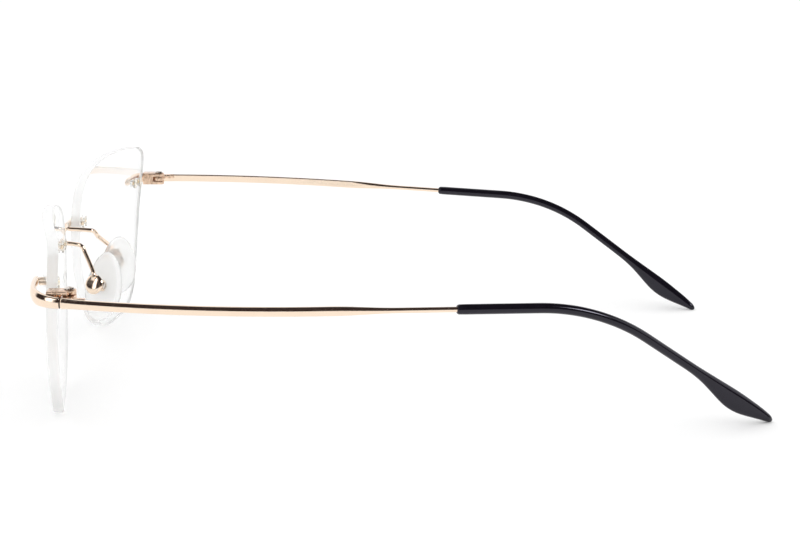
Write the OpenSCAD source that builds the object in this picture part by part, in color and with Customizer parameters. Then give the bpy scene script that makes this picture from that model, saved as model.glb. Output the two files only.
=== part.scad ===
// Rimless eyeglasses with swept-up drilled lenses, sprung wire nose pads and folding temples.
// +X points to the wearer's left, +Y from the lenses back to the ears, +Z up.
// The origin is the middle of the bounding box, on the surface that the glasses stand on.
// The left half is drawn once, and each right-hand piece is its mirror image.

/* [Lens] */
// Width of one lens
lens_w = 51.5; // [50.5:0.5:52]
// Height of one lens
lens_h = 38.4; // [38:0.2:39]
// Thickness of a lens
lens_t = 2; // [1.8:0.1:2.2]
// Radius of the front surface
lens_r = 168; // [150:1:200]
// Angle by which the outer side is swept back
lens_wrap = 8; // [7:0.5:9]
// Angle by which the lower edge leans back
lens_tilt = 1.5; // [1:0.5:3]
// Gap between the two lenses at the nose
lens_gap = 18.6; // [18:0.2:20]

/* [Bridge and fixings] */
// Height of the bridge bar
bridge_h = 1.7; // [1.5:0.1:2]
// Thickness of the bridge bar
bridge_t = 1; // [0.8:0.1:1.2]
// Rise of the bridge's middle above its ends
bridge_rise = 1.2; // [0:0.2:3]
// Distance between the two pins of a fixing
pin_pitch = 3; // [2.8:0.1:3.2]
// Diameter of a pin
pin_d = 0.9; // [0.8:0.05:1]
// Outer diameter of the clear sleeve around a pin
sleeve_d = 1.5; // [1.4:0.05:1.6]

/* [Hinge] */
// Distance from the middle plane to the seam between endpiece and temple
seam_x = 69.2; // [68.8:0.2:69.6]
// Height of the seam's middle
seam_z = 27.9; // [27.8:0.1:28.2]
// Height of the endpiece and of the temple at the seam
seam_h = 2; // [1.8:0.1:2.2]
// Gap in the open seam
seam_gap = 0.16; // [0.12:0.02:0.2]
// Distance of the hinge axis inwards from the seam
axis_in = 3.6; // [3.5:0.1:3.7]
// Distance of the hinge axis behind the seam
axis_back = 1.1; // [1:0.1:1.2]
// Radius of the knuckles
knuckle_r = 1.25; // [1.15:0.05:1.3]
// Radius of the screw's shank
hinge_shank_r = 0.5; // [0.45:0.05:0.55]

/* [Temple] */
// Length of a temple from the seam to its end, along the curve
temple_len = 141; // [140:1:142]
// Length of the flat strip
strip_len = 50; // [46:1:52]
// Height of the flat strip
strip_h = 1.7; // [1.5:0.1:1.9]
// Thickness of the flat strip
strip_t = 0.9; // [0.8:0.1:1]
// Diameter of the wire behind the strip
wire_d = 1; // [0.9:0.05:1.1]
// Outward lean of the temple where it leaves the hinge, and its inward lean further back
bow_angle = 12; // [11:0.5:13]
// Inward lean of the bent end
toe_angle = 20; // [18:1:22]
// Fall of the straight stretch
fall_angle = 1.7; // [1.5:0.1:1.9]
// Fall of the bent end
bend_angle = 34.1; // [33.5:0.1:35]
// Distance from the seam to the start of the bend
bend_start = 86; // [84:1:88]
// Length of the bend
bend_len = 22; // [20:1:24]

/* [Temple tip] */
// Distance from the seam to the front of the tip
tip_start = 70.6; // [70:0.2:72]
// Diameter of the tip at its front
tip_d = 1.9; // [1.8:0.1:2]
// Depth of the paddle below the temple's line
paddle_drop = 2.8; // [2.4:0.1:3]

/* [Nose pad] */
// Height of a nose pad
pad_h = 14.4; // [13:0.2:15]
// Width of a nose pad
pad_w = 8; // [7:0.2:8.4]
// Thickness of a nose pad
pad_t = 2.6; // [2.4:0.1:3]
// Angle between a pad and the middle plane, seen from above
pad_splay = 25; // [22:1:28]
// Angle between a pad and the middle plane, seen from the front
pad_flare = 18; // [15:1:20]
// Diameter of the pad arm's wire
arm_d = 0.9; // [0.8:0.1:1]

/* [Hidden] */
$fn = 40;
SIDES = ["left", "right"];
SIDED = ["lens", "bridge_sleeves", "endpiece_sleeves", "endpiece", "front_hinge_leaf", "hinge_screw",
    "rear_hinge_leaf", "temple", "temple_tip", "pad_arm", "pad_box", "pad_screw", "pad_core", "nose_pad"];

GOLD = "#e2a884";
STEEL = "#cfccc6";
CLEAR = "#eef3f4";
BLACK = "#15151b";
SILICONE = "#e6eaea";

// The seam lies this far in front of the middle of the bounding box.
seam_y = -59.1;
lens_c = [lens_gap / 2 + lens_w / 2 * cos(lens_wrap), seam_y - 9.5, lens_h / 2 - 0.03];

// Rounded outline of the left lens, anticlockwise from its upper outer corner.
outline_w = 51.5;
outline_h = 38.4;
outline_knots = [[25.7, 13.8], [24, 17.5], [18, 18.6], [9, 19], [-2, 18.9], [-13, 17.8], [-22, 14.4],
    [-25.8, 7.5], [-25.2, -1.5], [-21.5, -9], [-16, -15], [-8, -18.5], [2, -19.2], [11, -18.2],
    [17, -13.6], [20.8, -5.5], [23.6, 4]];

// Middle of each pair of lens holes, across and up from the lens's middle.
nasal_hole = [-21.6, 7.9];
outer_hole = [21.7, 9.8];
hole_clearance = 0.02;
sleeve_flange_r = 1.15;
sleeve_flange_t = 0.35;
sleeve_end = lens_t + 0.55;
pin_end = lens_t + 0.3;
plate_off = 0.1;

hinge_axis = [seam_x - axis_in, seam_y + axis_back];
leaf_h = 2.7;
leaf_z = seam_z - 0.95;
middle_h = 0.9;
axial_gap = 0.1;
middle_z = leaf_z + (leaf_h - middle_h) / 2;
knuckle_gap = 0.12;
leaf_reach = 3.8;
leaf_out = 2.2;
shank_clearance = 0.05;

taper_len = 8;
core_end = 127;
core_clearance = 0.02;
section_n = 12;
tip_n = 16;

pad_c = [12.1, seam_y - 2.4, 18.6];
cup_r = 2.05;
cup_t = 0.6;
cup_x = -1.9;
cheek_y = 0.85;
cheek_t = 0.6;
cheek_r = 1.15;
pad_back = 1.5;
tab_r = 1.05;
tab_t = 1.4;
pad_shank_r = 0.4;
core_h = 9;
core_w = 3.4;
core_t = 0.7;

// Vectors.
function unit(v) = v / norm(v);
function turn_x(p, a) = [p.x, p.y * cos(a) - p.z * sin(a), p.y * sin(a) + p.z * cos(a)];
function turn_y(p, a) = [p.x * cos(a) + p.z * sin(a), p.y, p.z * cos(a) - p.x * sin(a)];
function turn_z(p, a) = [p.x * cos(a) - p.y * sin(a), p.x * sin(a) + p.y * cos(a), p.z];

// A closed curve through the knots, with n points from each knot to the next.
function knot_blend(a, b, c, d, t) = 0.5 * (2 * b + (c - a) * t + (2 * a - 5 * b + 4 * c - d) * t * t
    + (3 * b - a - 3 * c + d) * t * t * t);
function closed_curve(knots, n) = let (m = len(knots)) [for (i = [0:m - 1]) for (k = [0:n - 1])
    knot_blend(knots[(i + m - 1) % m], knots[i], knots[(i + 1) % m], knots[(i + 2) % m], k / n)];

// A Bezier curve from a to d, with its handles at b and c.
function bezier(a, b, c, d, t) = a * pow(1 - t, 3) + 3 * b * t * pow(1 - t, 2)
    + 3 * c * t * t * (1 - t) + d * pow(t, 3);

// Point at height z above the lens's front surface, and a direction there, in the part's frame.
function lens_turn(p, u, v) = turn_z(turn_x(turn_y(turn_x(p, -asin(v / lens_r)), asin(u / lens_r)),
    90 + lens_tilt), lens_wrap);
function lens_point(u, v, z) = lens_c + lens_turn([0, 0, lens_r + z], u, v)
    - lens_turn([0, 0, lens_r], 0, 0);

// Section of a bar: elliptical outwards, and flatter inwards as flat falls from 1 to 0.
function bar_section(t, h, flat, n = section_n) = [for (i = [0:n - 1]) let (a = 360 * (i + 0.5) / n, c = cos(a))
    [(c > 0 ? c : -pow(-c, flat)) * t / 2, sin(a) * h / 2]];

// A ring of a swept bar: the section's first axis points outwards and its second points up.
function ring(centre, ahead, section) = let (out = unit(cross(ahead, [0, 0, 1])), up = cross(out, ahead))
    [for (q = section) centre + q[0] * out + q[1] * up];

// Closed solid through a list of rings of equal length.
module swept(rings) {
    n = len(rings[0]);
    m = len(rings);
    points = [for (r = rings) for (p = r) p];
    sides = [for (i = [0:m - 2]) for (j = [0:n - 1]) let (a = i * n + j, b = i * n + (j + 1) % n)
        each [[a, b + n, a + n], [a, b, b + n]]];
    polyhedron(points, concat([[for (j = [n - 1:-1:0]) j]], sides, [[for (j = [0:n - 1]) (m - 1) * n + j]]));
}

// Places a child on the lens's front surface, with its z axis along the surface's normal.
module on_lens(hole) {
    translate(lens_c)
        rotate([90 + lens_tilt, 0, lens_wrap])
            translate([0, 0, -lens_r])
                rotate([-asin(hole[1] / lens_r), asin(hole[0] / lens_r), 0])
                    translate([0, 0, lens_r]) children();
}

// Two copies of a child, at the two pins of a fixing.
module pin_pair() {
    for (side = [-1, 1]) translate([side * pin_pitch / 2, 0, 0]) children();
}

// Pins through the lens, up to given heights above its front surface.
module fixing_pins(inner_top, outer_top) {
    for (side = [-1, 1]) translate([side * pin_pitch / 2, 0, -pin_end])
        cylinder(d = pin_d, h = pin_end + (side < 0 ? inner_top : outer_top));
}

module lens() {
    outline = [for (p = closed_curve(outline_knots, 5)) [p[0] * lens_w / outline_w, p[1] * lens_h / outline_h]];
    color(CLEAR, 0.35) difference() {
        translate(lens_c) rotate([90 + lens_tilt, 0, lens_wrap]) intersection() {
            translate([0, 0, -12]) linear_extrude(14) polygon(outline);
            difference() {
                translate([0, 0, -lens_r]) sphere(r = lens_r, $fn = 360);
                translate([0, 0, -lens_r]) sphere(r = lens_r - lens_t, $fn = 360);
            }
        }
        for (hole = [nasal_hole, outer_hole])
            on_lens(hole) pin_pair() translate([0, 0, -3]) cylinder(d = sleeve_d + 2 * hole_clearance, h = 4);
    }
}

// Clear sleeves pushed in from behind, each with a flange against the lens.
module sleeves(hole) {
    color(CLEAR, 0.6) on_lens(hole) pin_pair() difference() {
        union() {
            translate([0, 0, -sleeve_end]) cylinder(d = sleeve_d, h = sleeve_end);
            translate([0, 0, -sleeve_end]) cylinder(r = sleeve_flange_r, h = sleeve_flange_t);
        }
        translate([0, 0, -sleeve_end - 1]) cylinder(d = pin_d + 2 * hole_clearance, h = sleeve_end + 2);
    }
}

// The bridge is one bent bar that lies on both lenses' front surfaces and arches between them.
plate_mid = plate_off + bridge_t / 2;
bridge_end = lens_point(nasal_hole[0] + pin_pitch / 2 + 1, nasal_hole[1], plate_mid);
bridge_foot = lens_point(-lens_w / 2 - 1.2, nasal_hole[1], plate_mid);
bridge_mid = [0, bridge_foot.y + 0.9, bridge_foot.z + bridge_rise];

function bridge_half(n) = let (d = bridge_foot - bridge_end) concat(
    [for (i = [0:n]) bridge_end + d * i / n],
    [for (i = [1:2 * n]) bezier(bridge_foot, bridge_foot + d * 0.5, bridge_mid + [5, 0, 0], bridge_mid,
        i / (2 * n))]);

module bridge() {
    half = bridge_half(5);
    line = concat(half, [for (i = [len(half) - 2:-1:0]) [-half[i].x, half[i].y, half[i].z]]);
    last = len(line) - 1;
    rings = [for (i = [last:-1:0]) let (ahead = unit(line[max(i - 1, 0)] - line[min(i + 1, last)]),
        size = i == 0 || i == last ? 0.6 : 1)
        ring(line[i], ahead, bar_section(bridge_t * size, bridge_h * size, 0.6))];
    color(GOLD) union() {
        swept(rings);
        on_lens(nasal_hole) fixing_pins(plate_mid, plate_mid);
        mirror([1, 0, 0]) on_lens(nasal_hole) fixing_pins(plate_mid, plate_mid);
    }
}

// The temple turns inwards over its first stretch, and again where it bends down.
bow_end = 46;
toe_start = 96;
toe_end = 110;
function temple_ahead(s) = let (
    lean = lookup(s, [[0, bow_angle], [bow_end, -bow_angle], [toe_start, -bow_angle], [toe_end, -toe_angle]]),
    fall = lookup(s, [[bend_start, -fall_angle], [bend_start + bend_len, -bend_angle]]))
    [cos(fall) * sin(lean), cos(fall) * cos(lean), sin(fall)];

// The endpiece starts on the lens's front, turns round its outer edge and ends at the hinge seam.
seam_c = [seam_x, seam_y, seam_z];
endpiece_t = 1.2;
stand_off = 0.5;
endpiece_mid_h = 2.6;
endpiece_pin_top = 2.1;
endpiece_reach = 12;
seam_reach = 5.5;
endpiece_end = lens_point(outer_hole[0] - pin_pitch / 2 - 1.1, outer_hole[1], stand_off + endpiece_t / 2);
endpiece_out = [cos(4), sin(4), 0];

function endpiece_at(t) = bezier(endpiece_end, endpiece_end + endpiece_out * endpiece_reach,
    seam_c - temple_ahead(0) * (seam_gap / 2 + seam_reach), seam_c - temple_ahead(0) * seam_gap / 2, t);

module endpiece() {
    n = 18;
    rings = [for (i = [0:n]) let (t = i / n,
        ahead = unit(endpiece_at(min(t + 0.01, 1)) - endpiece_at(max(t - 0.01, 0))),
        h = lookup(t, [[0, 1], [0.06, 1.8], [0.6, endpiece_mid_h], [1, seam_h]]),
        w = lookup(t, [[0, 0.7], [0.06, endpiece_t], [1, endpiece_t]]))
        ring(endpiece_at(t), i == n ? temple_ahead(0) : ahead, bar_section(w, h, 0.5))];
    color(GOLD) union() {
        swept(rings);
        on_lens(outer_hole) fixing_pins(stand_off + endpiece_t / 2, endpiece_pin_top);
    }
}

module at_hinge() {
    translate([hinge_axis[0], hinge_axis[1], 0]) children();
}

// The front leaf has the upper and the lower knuckle.
module front_hinge_leaf() {
    color(GOLD) at_hinge() difference() {
        translate([0, 0, leaf_z]) linear_extrude(leaf_h) union() {
            circle(r = knuckle_r);
            translate([-1.1, -leaf_reach]) square([1.1 + leaf_out, leaf_reach]);
        }
        translate([-5, -knuckle_r - knuckle_gap, middle_z - axial_gap])
            cube([10, 10, middle_h + 2 * axial_gap]);
        translate([0, 0, leaf_z - 1]) cylinder(r = hinge_shank_r + shank_clearance, h = leaf_h + 2);
    }
}

module hinge_screw() {
    head_h = 0.38;
    head_r = 0.95;
    top = leaf_z + leaf_h + 0.02;
    color(STEEL) at_hinge() difference() {
        union() {
            translate([0, 0, leaf_z]) cylinder(r = hinge_shank_r, h = leaf_h + 0.1);
            translate([0, 0, top]) cylinder(r = head_r, h = head_h);
        }
        translate([-1.5, -0.12, top + 0.22]) cube([3, 0.24, 1]);
    }
}

// The rear leaf has the middle knuckle and an arm to the temple's inner face.
module rear_hinge_leaf() {
    color(GOLD) at_hinge() translate([0, 0, middle_z]) difference() {
        linear_extrude(middle_h) union() {
            circle(r = knuckle_r);
            polygon([[0, -0.9], [3.35, -0.9], [4.1, 3.3], [3.1, 3.3], [2.4, 1.1], [0, 1.1]]);
        }
        translate([0, 0, -1]) cylinder(r = hinge_shank_r + shank_clearance, h = middle_h + 2);
    }
}

// Points along the temple's centre line, one millimetre apart.
temple_line = [for (s = 0, p = seam_c; s <= temple_len; p = p + temple_ahead(s + 0.5), s = s + 1) p];
function temple_at(s) = let (i = min(floor(s), temple_len - 1)) temple_line[i]
    + (temple_line[i + 1] - temple_line[i]) * (s - i);

// Stations of the rings that the tip and the wire inside it share.
tip_stations = concat([tip_start + 0.3], [for (s = [73:3:121]) s], [122.5, 124, 125.5, core_end]);
taper_end = strip_len + taper_len;

function temple_section(s) = bar_section(
    lookup(s, [[strip_len, strip_t], [taper_end, wire_d]]),
    lookup(s, [[0, seam_h], [3, strip_h], [strip_len, strip_h], [taper_end, wire_d]]),
    lookup(s, [[strip_len, 0.5], [taper_end, 1]]));

module temple() {
    stations = concat([seam_gap / 2, 1.5, 3, 6], [for (s = [10:4:46]) s], [50, 52, 54, 56, 58, 62, 66, 69],
        tip_stations);
    color(GOLD) swept([for (s = stations) ring(temple_at(s), temple_ahead(s), temple_section(s))]);
}

// The tip is a round sleeve over the wire that swells downwards into a flat paddle.
tip_r = tip_d / 2;
tip_front = [[tip_start, 0.72 * tip_r], [tip_start + 0.3, tip_r], [86, tip_r]];
tip_neck = 0.9;
paddle_start = 121;
paddle_low = 131.5;
paddle_end = [[temple_len - 1.2, 0.78], [temple_len - 0.6, 0.6], [temple_len - 0.2, 0.36], [temple_len, 0.05]];
tip_up = concat(tip_front, [[105, tip_neck], [paddle_start, tip_neck], [paddle_low, 1.25],
    [temple_len - 3.5, 1.05]], paddle_end);
tip_down = concat(tip_front, [[105, tip_neck], [paddle_start, tip_neck], [124.5, 0.5 * paddle_drop],
    [128.5, 0.86 * paddle_drop], [paddle_low, paddle_drop], [134, 0.86 * paddle_drop],
    [temple_len - 3.5, 0.5 * paddle_drop]], paddle_end);
tip_wide = concat(tip_front, [[105, tip_neck], [paddle_start, tip_neck], [paddle_low, 1.05],
    [temple_len - 3.5, 0.8]], paddle_end);
function tip_section(s) = [for (i = [0:tip_n - 1]) let (a = 360 * (i + 0.5) / tip_n)
    [cos(a) * lookup(s, tip_wide), sin(a) * lookup(s, sin(a) > 0 ? tip_up : tip_down)]];

module temple_tip() {
    stations = concat([tip_start], tip_stations, [129, 130.5, 132, 134, 136],
        [for (back = [3.5, 2.4, 1.2, 0.6, 0.2, 0]) temple_len - back]);
    bore = concat([tip_start - 0.5], tip_stations);
    hole = bar_section(wire_d + 2 * core_clearance, wire_d + 2 * core_clearance, 1);
    color(BLACK) difference() {
        swept([for (s = stations) ring(temple_at(s), temple_ahead(s), tip_section(s))]);
        swept([for (s = bore) ring(temple_at(s) + (s == core_end ? 0.1 : 0) * temple_ahead(s), temple_ahead(s), hole)]);
    }
}

// Places a child in the pad's frame: x towards the nose, y back along the screw, z up.
module at_pad() {
    translate(pad_c) rotate([0, 0, -pad_splay]) rotate([0, -pad_flare, 0]) mirror([1, 0, 0]) children();
}

// The arm leaves the bridge's foot, runs straight back past the lens and bends down to the pad box.
arm_root = bridge_foot + [-0.3, 0.2, -0.5];
arm_knots = [arm_root, arm_root + [0.3, 4, -0.3], arm_root + [0.8, 5.5, -0.7], arm_root + [1.5, 6.3, -2],
    pad_c + [0.95, -0.65, 2.9], pad_c + [1.35, -0.65, 1.3]];

function arm_at(t) = let (last = len(arm_knots) - 1, i = min(floor(t * last), last - 1), f = t * last - i)
    knot_blend(arm_knots[max(i - 1, 0)], arm_knots[i], arm_knots[i + 1], arm_knots[min(i + 2, last)], f);

module pad_arm() {
    n = 30;
    section = bar_section(arm_d, arm_d, 1, 10);
    rings = [for (i = [0:n]) let (t = i / n, ahead = unit(arm_at(min(t + 0.01, 1)) - arm_at(max(t - 0.01, 0))))
        ring(arm_at(t), ahead, section)];
    color(GOLD) swept(rings);
}

// The pad box is a round cup with two cheeks that hold the pad's tab.
module pad_box() {
    color(GOLD) at_pad() difference() {
        union() {
            translate([cup_x, 0, 0]) rotate([0, 90, 0]) cylinder(r = cup_r, h = cup_t);
            for (side = [-1, 1]) translate([0, side * (cheek_y + cheek_t / 2), 0]) rotate([90, 0, 0]) {
                cylinder(r = cheek_r, h = cheek_t, center = true);
                translate([-1, 0, 0]) cube([1.3, 2 * cheek_r, cheek_t], center = true);
            }
        }
        rotate([90, 0, 0]) cylinder(r = pad_shank_r + 0.03, h = 6, center = true);
    }
}

module pad_screw() {
    reach = cheek_y + cheek_t;
    color(STEEL) at_pad() difference() {
        union() {
            rotate([90, 0, 0]) cylinder(r = pad_shank_r, h = 2 * reach + 0.1, center = true);
            translate([0, reach + 0.4, 0]) rotate([90, 0, 0]) cylinder(r = 0.75, h = 0.38);
        }
        translate([-1, reach + 0.22, -0.1]) cube([2, 1, 0.2]);
    }
}

// The core is a stiff plate inside the soft pad, with a drilled tab that the screw holds.
module pad_core() {
    color(CLEAR, 0.8) at_pad() difference() {
        union() {
            rotate([90, 0, 0]) cylinder(r = tab_r, h = tab_t, center = true);
            translate([0, -tab_t / 2, -tab_r]) cube([pad_back + 0.9, tab_t, 2 * tab_r]);
            translate([pad_back + 0.85, -core_w / 2, -core_h / 2]) cube([core_t, core_w, core_h]);
        }
        rotate([90, 0, 0]) cylinder(r = pad_shank_r + 0.05, h = 4, center = true);
    }
}

// An egg-shaped oval, wider below.
pad_outline = [for (a = [0:6:354]) [cos(a) * (1 - 0.14 * sin(a)) * pad_w / 2, sin(a) * pad_h / 2]];

// The pad is an oval cushion, flat behind and domed towards the nose, with a pocket for the core.
module nose_pad() {
    gap = 0.02;
    dome_r = 16;
    color(SILICONE, 0.6) at_pad() difference() {
        intersection() {
            translate([pad_back, 0, 0]) rotate([90, 0, 90]) linear_extrude(pad_t) polygon(pad_outline);
            translate([pad_back + pad_t - dome_r, 0, 0]) sphere(r = dome_r, $fn = 180);
        }
        translate([pad_back + 0.85 - gap, -core_w / 2 - gap, -core_h / 2 - gap])
            cube([core_t + 2 * gap, core_w + 2 * gap, core_h + 2 * gap]);
        translate([0, -tab_t / 2 - gap, -tab_r - gap]) cube([pad_back + 1, tab_t + 2 * gap, 2 * (tab_r + gap)]);
    }
}

module piece(name) {
    if (name == "lens") lens();
    if (name == "bridge_sleeves") sleeves(nasal_hole);
    if (name == "endpiece_sleeves") sleeves(outer_hole);
    if (name == "endpiece") endpiece();
    if (name == "front_hinge_leaf") front_hinge_leaf();
    if (name == "hinge_screw") hinge_screw();
    if (name == "rear_hinge_leaf") rear_hinge_leaf();
    if (name == "temple") temple();
    if (name == "temple_tip") temple_tip();
    if (name == "pad_arm") pad_arm();
    if (name == "pad_box") pad_box();
    if (name == "pad_screw") pad_screw();
    if (name == "pad_core") pad_core();
    if (name == "nose_pad") nose_pad();
}

bridge();
for (name = SIDED) {
    piece(name);
    mirror([1, 0, 0]) piece(name);
}
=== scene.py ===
"""Rimless eyeglasses with clear drilled lenses, rose-gold fittings and black temple tips.

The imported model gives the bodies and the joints, and each piece here stands for one of its nodes.
Every left-hand piece is drawn in millimetres, and its right-hand twin is the mirror image.
"""
import math

import bmesh
import bpy
from mathutils import Matrix, Vector
from mathutils.geometry import delaunay_2d_cdt


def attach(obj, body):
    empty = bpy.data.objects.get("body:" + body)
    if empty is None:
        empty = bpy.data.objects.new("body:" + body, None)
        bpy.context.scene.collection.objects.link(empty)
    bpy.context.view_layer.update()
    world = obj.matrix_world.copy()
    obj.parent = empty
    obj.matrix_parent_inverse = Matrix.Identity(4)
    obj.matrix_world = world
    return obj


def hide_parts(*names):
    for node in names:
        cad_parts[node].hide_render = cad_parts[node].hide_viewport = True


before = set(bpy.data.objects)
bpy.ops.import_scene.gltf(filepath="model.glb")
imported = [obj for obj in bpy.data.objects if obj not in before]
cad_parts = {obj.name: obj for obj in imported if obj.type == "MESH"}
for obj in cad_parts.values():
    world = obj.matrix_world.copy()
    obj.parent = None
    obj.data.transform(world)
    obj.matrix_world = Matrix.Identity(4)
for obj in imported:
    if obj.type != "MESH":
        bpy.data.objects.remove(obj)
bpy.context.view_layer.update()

MM = 0.001
SIDES = ("left", "right")
MERGE_GAP = 0.0001

# Lens
LENS_W = 51.5
LENS_H = 38.4
LENS_T = 2.0
LENS_R = 168.0
LENS_WRAP = 8.0
LENS_TILT = 1.5
LENS_GAP = 18.6
SEAM = Vector((69.2, -59.1, 27.9))
LENS_C = Vector((LENS_GAP / 2 + LENS_W / 2 * math.cos(math.radians(LENS_WRAP)),
                 SEAM.y - 9.5, LENS_H / 2 - 0.03))
FRONT_R = LENS_R
BACK_R = LENS_R - LENS_T
RIM_SOFT = 0.16
OUTLINE = ((25.7, 13.8), (24, 17.5), (18, 18.6), (9, 19), (-2, 18.9), (-13, 17.8), (-22, 14.4),
           (-25.8, 7.5), (-25.2, -1.5), (-21.5, -9), (-16, -15), (-8, -18.5), (2, -19.2),
           (11, -18.2), (17, -13.6), (20.8, -5.5), (23.6, 4))
NASAL_HOLE = (-21.6, 7.9)
OUTER_HOLE = (21.7, 9.8)
PIN_PITCH = 3.0
PIN_R = 0.45
SLEEVE_R = 0.75
HOLE_R = 0.77
HOLE_CHAMFER = 0.06

# Hinge
AXIS = Vector((65.6, -58.0, 0))
KNUCKLE_R = 1.25
LEAF_H = 2.7
LEAF_Z = SEAM.z - 0.95
MIDDLE_H = 0.9
MIDDLE_Z = LEAF_Z + (LEAF_H - MIDDLE_H) / 2
SHANK_R = 0.5

# Temple and tip
SEAM_GAP = 0.16
SEAM_H = 2.0
STRIP_LEN = 50.0
STRIP_H = 1.7
STRIP_T = 0.9
WIRE_END = 127.0
WIRE_D = 1.0
TAPER_END = 58.0
TEMPLE_LEN = 141.0
TIP_START = 70.6
TIP_R = 0.95

# Nose pad
PAD_C = Vector((12.1, SEAM.y - 2.4, 18.6))
PAD_H = 14.4
PAD_W = 8.0
PAD_T = 2.6
PAD_SPLAY = 25.0
PAD_FLARE = 18.0
PAD_BACK = 1.5

# Edges that turn by more than this stay sharp, on rounded and on crisp pieces
SHARP_ROUND = 38.0
SHARP_CRISP = 30.0


# ---------------------------------------------------------------- camera, light and floor

CAMERA_PLACE = Vector((390.77, -1.45, 102.18))
CAMERA_AIM = Vector((0, 0.82, 20.04))
CAMERA_LENS = 84.7
CAMERA_ROLL = 0.23

TENT_LIGHT = 1.12
DARK_ROOM = (0.03, 0.021, 0.022, 1)
PALE_WALL = (1.06, 1.06, 1.08, 1)
WINDOW = (2.2, 2.2, 2.2, 1)
LAMP = (15, 15, 15.8, 1)

# Patches of the room: (from, to, softness) in degrees, round from the wearer's left, then up from level
REAR_WALL = ((-112, -66, 3), (14, 44, 3))
WINDOW_PATCH = ((40, 56, 2), (2, 50, 2))
LAMP_PATCH = ((-66, -48, 3), (34, 45, 1.5))

FLOOR_HALF = 30.0
FLOOR_DROP = 3e-5


def make_camera():
    """A long lens from the wearer's left, a little above the temples."""
    place = CAMERA_PLACE * MM
    ahead = CAMERA_AIM * MM - place
    camera = bpy.data.objects.new("camera", bpy.data.cameras.new("camera"))
    camera.data.lens = CAMERA_LENS
    camera.data.sensor_width = 36
    camera.data.clip_start = 0.01
    camera.data.clip_end = 50
    camera.location = place
    roll = Matrix.Rotation(math.radians(CAMERA_ROLL), 4, "Z")
    camera.rotation_euler = (ahead.to_track_quat("-Z", "Y").to_matrix().to_4x4() @ roll).to_euler()
    bpy.context.scene.collection.objects.link(camera)
    bpy.context.scene.camera = camera


def add(tree, kind, ins=None, **settings):
    """A node with its settings, its plain values and its links."""
    node = tree.nodes.new(kind)
    for key, value in settings.items():
        setattr(node, key, value)
    for key, value in (ins or {}).items():
        if isinstance(value, bpy.types.NodeSocket):
            tree.links.new(value, node.inputs[key])
        else:
            node.inputs[key].default_value = value
    return node


def maths_in(tree):
    """A short way to add maths nodes to one tree."""
    def maths(operation, a, b=0.0):
        return add(tree, "ShaderNodeMath", {0: a, 1: b}, operation=operation).outputs[0]

    return maths


def room_light(tree):
    """The colour seen in each direction of the dark room, with its pale walls, window and lamp."""
    maths = maths_in(tree)
    way = add(tree, "ShaderNodeSeparateXYZ", {0: add(tree, "ShaderNodeTexCoord").outputs["Generated"]})
    x, y, z = way.outputs

    def step(value, start, end):
        """Rises smoothly from 0 at start to 1 at end."""
        return add(tree, "ShaderNodeMapRange", {"Value": value, "From Min": start, "From Max": end},
                   interpolation_type="SMOOTHSTEP").outputs[0]

    def band(value, low, high, soft):
        """1 between low and high, with soft edges."""
        return maths("MULTIPLY", step(value, low - soft, low + soft), step(value, high + soft, high - soft))

    def bearing(side):
        """Degrees round from one side, rising towards the front."""
        return maths("MULTIPLY", maths("ARCTAN2", maths("MULTIPLY", y, -1.0), side), 180 / math.pi)

    height = maths("MULTIPLY", maths("ARCSINE", z), 180 / math.pi)
    round_left, round_right = bearing(x), bearing(maths("MULTIPLY", x, -1.0))

    def patch(around, up):
        return maths("MULTIPLY", band(round_left, *around), band(height, *up))

    right_wall = maths("MULTIPLY", band(round_right, -80, 80, 8), step(height, 40, 28))
    front_wall = maths("MULTIPLY", step(round_left, 98, 112), step(height, 80, 68))
    walls = maths("MAXIMUM", maths("MAXIMUM", right_wall, front_wall), patch(*REAR_WALL))
    light = DARK_ROOM
    for share, colour in ((walls, PALE_WALL), (patch(*WINDOW_PATCH), WINDOW), (patch(*LAMP_PATCH), LAMP)):
        light = add(tree, "ShaderNodeMix", {"Factor": share, "A": light, "B": colour},
                    data_type="RGBA").outputs["Result"]
    return light


def make_world():
    """A pale tent for the eye and for all soft light.

    Reflections on the glasses see a dark room instead. It has pale walls on the wearer's right, in front and
    behind, a window at the left in front, and a small bright lamp at the left behind.
    """
    world = bpy.data.worlds.new("studio")
    bpy.context.scene.world = world
    world.use_nodes = True
    tree = world.node_tree
    tree.nodes.clear()
    maths = maths_in(tree)
    seen = add(tree, "ShaderNodeBackground", {"Color": room_light(tree), "Strength": 1.0})
    pale = add(tree, "ShaderNodeBackground", {"Color": (1, 1, 1, 1), "Strength": TENT_LIGHT})
    path = add(tree, "ShaderNodeLightPath")
    direct = maths("LESS_THAN", path.outputs["Diffuse Depth"], 0.5)
    mirrored = maths("MULTIPLY", path.outputs["Is Glossy Ray"], direct)
    mix = add(tree, "ShaderNodeMixShader", {0: mirrored, 1: pale.outputs[0], 2: seen.outputs[0]})
    add(tree, "ShaderNodeOutputWorld", {"Surface": mix.outputs[0]})


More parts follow.
